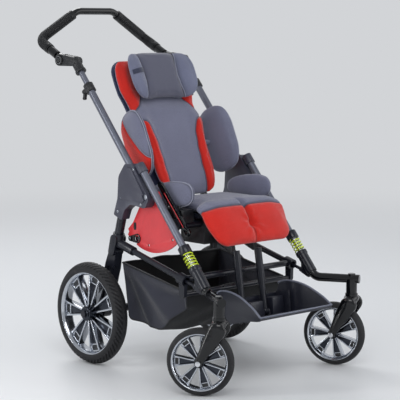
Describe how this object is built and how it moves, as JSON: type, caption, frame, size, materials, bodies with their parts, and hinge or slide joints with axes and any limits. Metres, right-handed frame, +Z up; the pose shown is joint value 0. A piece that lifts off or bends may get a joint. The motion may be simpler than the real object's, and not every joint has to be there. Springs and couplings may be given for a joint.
{
  "type": "special needs buggy",
  "caption": "Special needs buggy: tilting, reclining padded seat with headrest, side pads and foot tray on a chassis with sprung front casters, spoked wheels and an adjustable push bar",
  "frame": {"origin": "On the floor in the mid plane between the side frames, halfway between the front of the casters and the back of the push bar", "axes": "+Z up, -Y the way the occupant faces, +X the occupant's left"},
  "size_m": [0.6774, 0.9313, 1.0757],
  "materials": {
    "frame_grey": "satin grey powder coat",
    "frame_black": "satin black powder coat",
    "gloss_black": "gloss black paint",
    "cover_plastic": "fine-grained dark blue-grey moulding",
    "plate_red": "red powder coat",
    "bright_metal": "bright plated",
    "satin_metal": "satin",
    "spring_yellow": "yellow-green coated wire",
    "rim_metal": "dark machined",
    "tyre_rubber": "matt treaded rubber",
    "grip_rubber": "ribbed matt rubber",
    "black_plastic": "fine-grained black moulding",
    "tray_plastic": "dark grey moulding",
    "shell_plastic": "blue-grey moulding",
    "seat_red": "red spacer fabric",
    "seat_grey": "grey spacer fabric",
    "basket_cloth": "dark grey woven cloth"
  },
  "bodies": {
    "chassis": {"side_covers": "cover_plastic", "front_tubes": "frame_grey", "upper_legs": "frame_black", "leg_brackets": "frame_black", "side_braces": "frame_black", "cross_tubes": "frame_black", "sector_plates": "plate_red", "pivot_bolts": "bright_metal", "pillar_rods": "bright_metal", "spring_seats": "black_plastic", "push_tubes": "frame_grey", "clamp_collars": "black_plastic", "spring_left": "spring_yellow", "spring_right": "spring_yellow", "basket": "basket_cloth"},
    "rear_legs": {"lower_legs": "frame_black", "axle_tube": "frame_black"},
    "brake": {"brake_pedal": "black_plastic"},
    "handle": {"handle_tubes": "frame_black", "handle_joints": "black_plastic"},
    "handle_bar": {"push_bar": "gloss_black", "grips": "grip_rubber"},
    "seat": {"tilt_arms": "frame_black", "seat_base": "black_plastic", "seat_box": "black_plastic", "side_rails": "frame_black", "seat_cushion": "seat_red", "hip_brackets": "black_plastic", "hip_pads": "seat_grey", "hanger_outers": "frame_black"},
    "back": {"back_frame": "frame_black", "back_shell": "shell_plastic", "back_cushion": "seat_grey", "chest_pads": "seat_grey"},
    "headrest": {"headrest_post": "satin_metal", "headrest_pad": "seat_grey"},
    "footrest": {"hanger_inners": "frame_black"},
    "foot_tray_body": {"foot_tray": "tray_plastic"},
    "front_arm_left": {"clamp_left": "frame_black", "caster_arm_left": "gloss_black"},
    "caster_fork_left": {"fork_left": "gloss_black", "caster_axle_left": "satin_metal"},
    "caster_wheel_left": {"caster_rim_left": "rim_metal", "caster_tyre_left": "tyre_rubber"},
    "rear_wheel_left": {"rear_rim_left": "rim_metal", "rear_tyre_left": "tyre_rubber"},
    "joint_button_left": {"button_left": "satin_metal"},
    "clamp_lever_left": {"lever_left": "black_plastic"},
    "tilt_bolt_left": {"index_bolt_left": "bright_metal"},
    "front_arm_right": {"clamp_right": "frame_black", "caster_arm_right": "gloss_black"},
    "caster_fork_right": {"fork_right": "gloss_black", "caster_axle_right": "satin_metal"},
    "caster_wheel_right": {"caster_rim_right": "rim_metal", "caster_tyre_right": "tyre_rubber"},
    "rear_wheel_right": {"rear_rim_right": "rim_metal", "rear_tyre_right": "tyre_rubber"},
    "joint_button_right": {"button_right": "satin_metal"},
    "clamp_lever_right": {"lever_right": "black_plastic"},
    "tilt_bolt_right": {"index_bolt_right": "bright_metal"}
  },
  "joints": [
    {"name": "seat_tilt", "type": "hinge", "parent": "chassis", "child": "seat", "pos_m": [0, -0.066, 0.522], "axis": [1, 0, 0], "range_deg": [-30, 0]},
    {"name": "back_recline", "type": "hinge", "parent": "seat", "child": "back", "pos_m": [0, -0.004, 0.464], "axis": [1, 0, 0], "range_deg": [-15, 10]},
    {"name": "headrest_height", "type": "slide", "parent": "back", "child": "headrest", "axis": [0, 0.4067, 0.9135], "range_m": [0, 0.06]},
    {"name": "footrest_length", "type": "slide", "parent": "seat", "child": "footrest", "axis": [0, 0.1687, 0.9857], "range_m": [0, 0.05]},
    {"name": "foot_tray_flip", "type": "hinge", "parent": "footrest", "child": "foot_tray_body", "pos_m": [0, -0.284, 0.178], "axis": [1, 0, 0], "range_deg": [-60, 0]},
    {"name": "handle_height", "type": "slide", "parent": "chassis", "child": "handle", "axis": [0, 0.6468, 0.7627], "range_m": [-0.04, 0.1]},
    {"name": "handle_angle", "type": "hinge", "parent": "handle", "child": "handle_bar", "pos_m": [0, 0.33283, 0.91362], "axis": [1, 0, 0], "range_deg": [-70, 60]},
    {"name": "rear_leg_swing", "type": "hinge", "parent": "chassis", "child": "rear_legs", "pos_m": [0, 0.085, 0.345], "axis": [1, 0, 0], "range_deg": [-60, 0], "deforming": ["basket"]},
    {"name": "brake_press", "type": "hinge", "parent": "rear_legs", "child": "brake", "pos_m": [0, 0.14, 0.155], "axis": [1, 0, 0], "range_deg": [-15, 0]},
    {"name": "front_spring_left", "type": "slide", "parent": "chassis", "child": "front_arm_left", "axis": [0, 0.6468, 0.7627], "range_m": [0, 0.008], "stiffness_N_per_m": 8000, "springref_m": -0.012, "deforming": ["spring_left"]},
    {"name": "caster_swivel_left", "type": "hinge", "parent": "front_arm_left", "child": "caster_fork_left", "pos_m": [0.2746, -0.4213, 0.22], "axis": [0, 0, 1], "continuous": true},
    {"name": "caster_spin_left", "type": "hinge", "parent": "caster_fork_left", "child": "caster_wheel_left", "pos_m": [0.25372, -0.37259, 0.0962], "axis": [0.9191, 0.3939, 0], "continuous": true},
    {"name": "rear_spin_left", "type": "hinge", "parent": "rear_legs", "child": "rear_wheel_left", "pos_m": [0.2712, 0.14, 0.155], "axis": [1, 0, 0], "continuous": true},
    {"name": "button_press_left", "type": "slide", "parent": "handle", "child": "joint_button_left", "axis": [-1, 0, 0], "range_m": [0, 0.003], "stiffness_N_per_m": 900},
    {"name": "lever_open_left", "type": "hinge", "parent": "chassis", "child": "clamp_lever_left", "pos_m": [0.221, 0.22356, 0.81879], "axis": [1, 0, 0], "range_deg": [0, 80]},
    {"name": "tilt_lock_left", "type": "slide", "parent": "seat", "child": "tilt_bolt_left", "axis": [1, 0, 0], "range_m": [0, 0.007]},
    {"name": "front_spring_right", "type": "slide", "parent": "chassis", "child": "front_arm_right", "axis": [0, 0.6468, 0.7627], "range_m": [0, 0.008], "stiffness_N_per_m": 8000, "springref_m": -0.012, "deforming": ["spring_right"]},
    {"name": "caster_swivel_right", "type": "hinge", "parent": "front_arm_right", "child": "caster_fork_right", "pos_m": [-0.2746, -0.4213, 0.22], "axis": [0, 0, 1], "continuous": true},
    {"name": "caster_spin_right", "type": "hinge", "parent": "caster_fork_right", "child": "caster_wheel_right", "pos_m": [-0.3037, -0.377, 0.0962], "axis": [0.8358, 0.549, 0], "continuous": true},
    {"name": "rear_spin_right", "type": "hinge", "parent": "rear_legs", "child": "rear_wheel_right", "pos_m": [-0.2712, 0.14, 0.155], "axis": [1, 0, 0], "continuous": true},
    {"name": "button_press_right", "type": "slide", "parent": "handle", "child": "joint_button_right", "axis": [1, 0, 0], "range_m": [0, 0.003], "stiffness_N_per_m": 900},
    {"name": "lever_open_right", "type": "hinge", "parent": "chassis", "child": "clamp_lever_right", "pos_m": [-0.221, 0.22356, 0.81879], "axis": [1, 0, 0], "range_deg": [0, 80]},
    {"name": "tilt_lock_right", "type": "slide", "parent": "seat", "child": "tilt_bolt_right", "axis": [-1, 0, 0], "range_m": [0, 0.007]}
  ]
}
